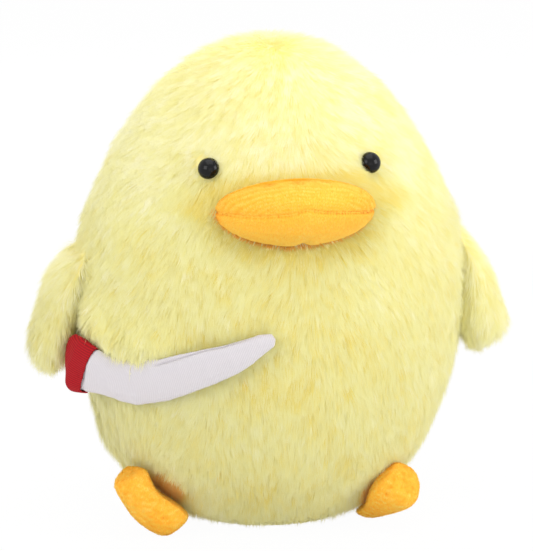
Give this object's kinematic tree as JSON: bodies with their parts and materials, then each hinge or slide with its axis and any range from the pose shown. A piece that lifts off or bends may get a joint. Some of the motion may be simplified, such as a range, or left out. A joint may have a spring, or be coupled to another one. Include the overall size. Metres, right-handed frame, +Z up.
{
  "type": "plush duck",
  "caption": "Egg-shaped stuffed duck toy in long yellow fur with a broad orange bill, bead eyes, hinged wings and feet, and a soft toy knife held under one wing.",
  "frame": {"origin": "middle of the flat base that the duck sits on, on the floor under the body's centre", "axes": "+Z up, -Y the way the duck faces, +X towards the duck's own left wing"},
  "size_m": [0.2834, 0.2094, 0.279],
  "materials": {
    "yellow_fur": "long soft pile, pale yellow",
    "orange_bill": "short velvety nap, yellow orange",
    "orange_feet": "short fleecy nap, orange",
    "stuffing": "loose white fibre",
    "black_bead": "polished black",
    "washer_plastic": "plain moulded",
    "white_tricot": "fine ribbed knit, white",
    "red_tricot": "fine ribbed knit, red"
  },
  "bodies": {
    "torso": {"body_front_left": "yellow_fur", "body_front_right": "yellow_fur", "body_back_left": "yellow_fur", "body_back_right": "yellow_fur", "body_base": "yellow_fur", "body_stuffing": "stuffing", "bill_upper": "orange_bill", "bill_lower": "orange_bill", "bill_stuffing": "stuffing", "left_eye": "black_bead", "right_eye": "black_bead", "left_eye_washer": "washer_plastic", "right_eye_washer": "washer_plastic"},
    "left_wing": {"left_wing_outer": "yellow_fur", "left_wing_inner": "yellow_fur", "left_wing_stuffing": "stuffing"},
    "right_wing": {"right_wing_outer": "yellow_fur", "right_wing_inner": "yellow_fur", "right_wing_stuffing": "stuffing"},
    "knife": {"knife_blade_front": "white_tricot", "knife_blade_back": "white_tricot", "knife_handle_outer": "red_tricot", "knife_handle_inner": "red_tricot", "knife_stuffing": "stuffing"},
    "left_foot": {"left_foot_upper": "orange_feet", "left_foot_sole": "orange_feet", "left_foot_stuffing": "stuffing"},
    "right_foot": {"right_foot_upper": "orange_feet", "right_foot_sole": "orange_feet", "right_foot_stuffing": "stuffing"}
  },
  "joints": [
    {"name": "left_wing_lift", "type": "hinge", "parent": "torso", "child": "left_wing", "pos_m": [0.10676, 0, 0.17103], "axis": [0, -1, 0], "range_deg": [0, 60], "stiffness_Nm_per_rad": 0.05},
    {"name": "right_wing_lift", "type": "hinge", "parent": "torso", "child": "right_wing", "pos_m": [-0.10676, 0, 0.17103], "axis": [0, 1, 0], "range_deg": [0, 45], "stiffness_Nm_per_rad": 0.05},
    {"name": "knife_swing", "type": "hinge", "parent": "right_wing", "child": "knife", "pos_m": [-0.11393, -0.02795, 0.10398], "axis": [0, 0, -1], "range_deg": [0, 30], "stiffness_Nm_per_rad": 0.01},
    {"name": "left_foot_swing", "type": "hinge", "parent": "torso", "child": "left_foot", "pos_m": [0.05358, -0.03917, 0.01555], "axis": [0, 0, -1], "range_deg": [0, 25], "stiffness_Nm_per_rad": 0.03},
    {"name": "right_foot_swing", "type": "hinge", "parent": "torso", "child": "right_foot", "pos_m": [-0.06817, -0.04416, 0.01638], "axis": [0, 0, 1], "range_deg": [0, 40], "stiffness_Nm_per_rad": 0.03}
  ]
}
